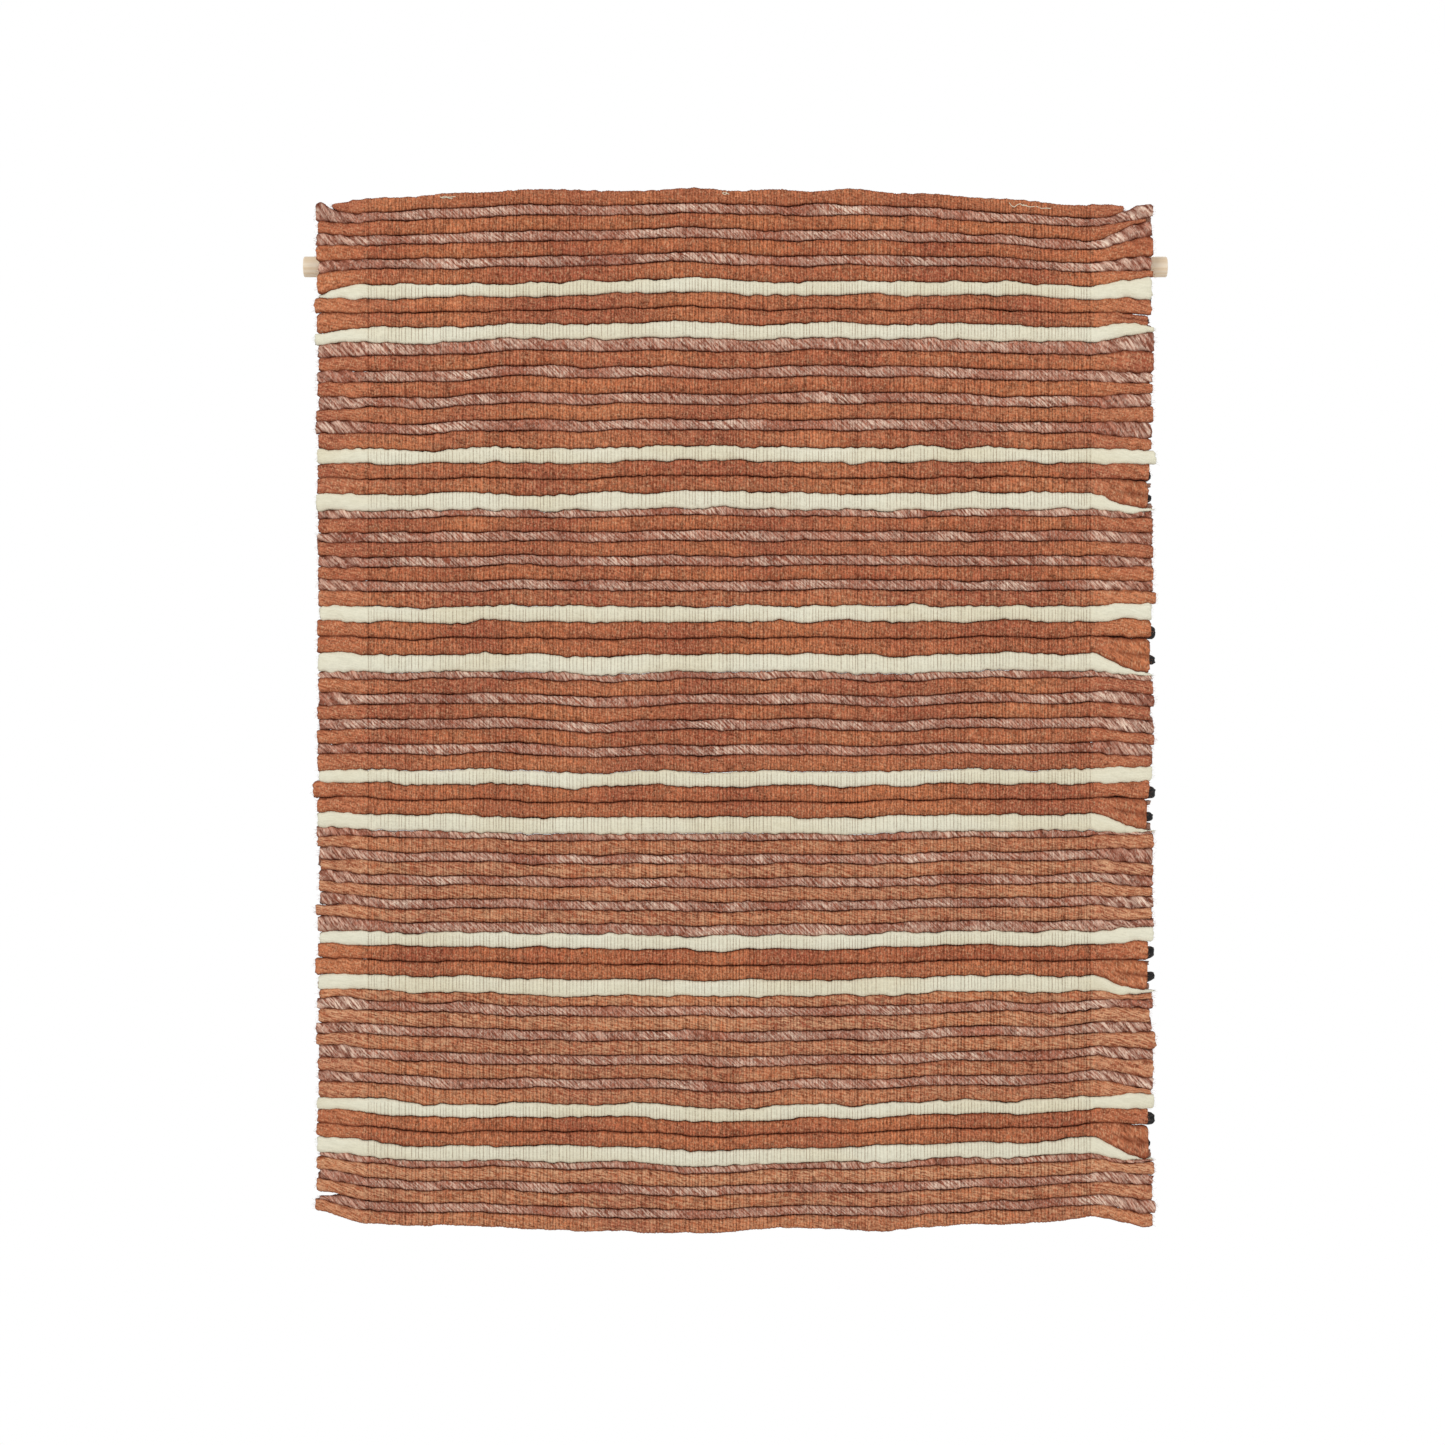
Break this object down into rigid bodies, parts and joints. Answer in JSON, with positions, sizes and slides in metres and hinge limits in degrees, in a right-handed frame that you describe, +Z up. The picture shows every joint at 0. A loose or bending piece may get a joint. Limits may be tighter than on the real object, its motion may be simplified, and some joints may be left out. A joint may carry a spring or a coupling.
{
  "type": "tapestry wall hanging",
  "caption": "Handwoven wool wall hanging of thick wefts in fields and bands, with short side fringes, hung on a round wooden dowel through a sleeve on its back",
  "frame": {"origin": "the middle of the dowel, on its axis, where the hanging is held up", "axes": "+X along the dowel to the viewer's right, +Z up, and the woven face looks along -Y with the wall behind on +Y"},
  "size_m": [0.837, 0.0451, 0.9956],
  "materials": {
    "dowel_wood": "bare sanded pine with a lengthwise grain",
    "rust_roving": "matte loose wool roving",
    "pink_yarn": "matte marled plied wool",
    "cream_roving": "matte loose wool roving",
    "back_wool": "matte wool",
    "charcoal_wool": "matte wool",
    "warp_thread": "smooth twisted cotton",
    "sleeve_twill": "matte cotton twill",
    "sewing_thread": "smooth twisted thread",
    "knot_cotton": "soft cotton thread"
  },
  "bodies": {
    "dowel": {"dowel": "dowel_wood"},
    "sleeve": {"rod_sleeve": "sleeve_twill"},
    "field_1": {"field_1_rust_wefts": "rust_roving", "field_1_pink_wefts": "pink_yarn", "field_1_back_wefts": "back_wool", "field_1_warps": "warp_thread", "sleeve_top_hem": "sleeve_twill", "sleeve_bottom_hem": "sleeve_twill", "sleeve_top_stitches": "sewing_thread", "sleeve_bottom_stitches": "sewing_thread", "top_knots": "knot_cotton"},
    "band_1": {"band_1_cream_wefts": "cream_roving", "band_1_rust_wefts": "rust_roving", "band_1_back_wefts": "charcoal_wool", "band_1_warps": "warp_thread"},
    "field_2": {"field_2_rust_wefts": "rust_roving", "field_2_pink_wefts": "pink_yarn", "field_2_back_wefts": "back_wool", "field_2_warps": "warp_thread"},
    "band_2": {"band_2_cream_wefts": "cream_roving", "band_2_rust_wefts": "rust_roving", "band_2_back_wefts": "charcoal_wool", "band_2_warps": "warp_thread"},
    "field_3": {"field_3_rust_wefts": "rust_roving", "field_3_pink_wefts": "pink_yarn", "field_3_back_wefts": "back_wool", "field_3_warps": "warp_thread"},
    "band_3": {"band_3_cream_wefts": "cream_roving", "band_3_rust_wefts": "rust_roving", "band_3_back_wefts": "charcoal_wool", "band_3_warps": "warp_thread"},
    "field_4": {"field_4_rust_wefts": "rust_roving", "field_4_pink_wefts": "pink_yarn", "field_4_back_wefts": "back_wool", "field_4_warps": "warp_thread"},
    "band_4": {"band_4_cream_wefts": "cream_roving", "band_4_rust_wefts": "rust_roving", "band_4_back_wefts": "charcoal_wool", "band_4_warps": "warp_thread"},
    "field_5": {"field_5_rust_wefts": "rust_roving", "field_5_pink_wefts": "pink_yarn", "field_5_back_wefts": "back_wool", "field_5_warps": "warp_thread"},
    "band_5": {"band_5_cream_wefts": "cream_roving", "band_5_rust_wefts": "rust_roving", "band_5_back_wefts": "charcoal_wool", "band_5_warps": "warp_thread"},
    "field_6": {"field_6_rust_wefts": "rust_roving", "field_6_pink_wefts": "pink_yarn", "field_6_back_wefts": "back_wool", "field_6_warps": "warp_thread"},
    "band_6": {"band_6_cream_wefts": "cream_roving", "band_6_rust_wefts": "rust_roving", "band_6_back_wefts": "charcoal_wool", "band_6_warps": "warp_thread"},
    "field_7": {"field_7_rust_wefts": "rust_roving", "field_7_pink_wefts": "pink_yarn", "field_7_back_wefts": "back_wool", "field_7_warps": "warp_thread"}
  },
  "joints": [
    {"name": "sleeve_slide", "type": "slide", "parent": "dowel", "child": "sleeve", "axis": [1, 0, 0], "range_m": [-0.065, 0.065]},
    {"name": "panel_swing", "type": "hinge", "parent": "sleeve", "child": "field_1", "pos_m": [0, 0, 0], "axis": [-1, 0, 0], "range_deg": [0, 25]},
    {"name": "bend_1", "type": "hinge", "parent": "field_1", "child": "band_1", "pos_m": [0, -0.0271, -0.018], "axis": [-1, 0, 0], "range_deg": [0, 12]},
    {"name": "bend_2", "type": "hinge", "parent": "band_1", "child": "field_2", "pos_m": [0, -0.0271, -0.076], "axis": [-1, 0, 0], "range_deg": [0, 12]},
    {"name": "bend_3", "type": "hinge", "parent": "field_2", "child": "band_2", "pos_m": [0, -0.0271, -0.177], "axis": [-1, 0, 0], "range_deg": [0, 12]},
    {"name": "bend_4", "type": "hinge", "parent": "band_2", "child": "field_3", "pos_m": [0, -0.0271, -0.239], "axis": [-1, 0, 0], "range_deg": [0, 12]},
    {"name": "bend_5", "type": "hinge", "parent": "field_3", "child": "band_3", "pos_m": [0, -0.0271, -0.329], "axis": [-1, 0, 0], "range_deg": [0, 12]},
    {"name": "bend_6", "type": "hinge", "parent": "band_3", "child": "field_4", "pos_m": [0, -0.0271, -0.395], "axis": [-1, 0, 0], "range_deg": [0, 12]},
    {"name": "bend_7", "type": "hinge", "parent": "field_4", "child": "band_4", "pos_m": [0, -0.0271, -0.487], "axis": [-1, 0, 0], "range_deg": [0, 12]},
    {"name": "bend_8", "type": "hinge", "parent": "band_4", "child": "field_5", "pos_m": [0, -0.0271, -0.549], "axis": [-1, 0, 0], "range_deg": [0, 12]},
    {"name": "bend_9", "type": "hinge", "parent": "field_5", "child": "band_5", "pos_m": [0, -0.0271, -0.643], "axis": [-1, 0, 0], "range_deg": [0, 12]},
    {"name": "bend_10", "type": "hinge", "parent": "band_5", "child": "field_6", "pos_m": [0, -0.0271, -0.704], "axis": [-1, 0, 0], "range_deg": [0, 12]},
    {"name": "bend_11", "type": "hinge", "parent": "field_6", "child": "band_6", "pos_m": [0, -0.0271, -0.806], "axis": [-1, 0, 0], "range_deg": [0, 12]},
    {"name": "bend_12", "type": "hinge", "parent": "band_6", "child": "field_7", "pos_m": [0, -0.0271, -0.864], "axis": [-1, 0, 0], "range_deg": [0, 12]}
  ],
  "couplings": [
    {"joint": "bend_2", "follows": "bend_1", "ratio": 1},
    {"joint": "bend_3", "follows": "bend_1", "ratio": 1},
    {"joint": "bend_4", "follows": "bend_1", "ratio": 1},
    {"joint": "bend_5", "follows": "bend_1", "ratio": 1},
    {"joint": "bend_6", "follows": "bend_1", "ratio": 1},
    {"joint": "bend_7", "follows": "bend_1", "ratio": 1},
    {"joint": "bend_8", "follows": "bend_1", "ratio": 1},
    {"joint": "bend_9", "follows": "bend_1", "ratio": 1},
    {"joint": "bend_10", "follows": "bend_1", "ratio": 1},
    {"joint": "bend_11", "follows": "bend_1", "ratio": 1},
    {"joint": "bend_12", "follows": "bend_1", "ratio": 1}
  ]
}
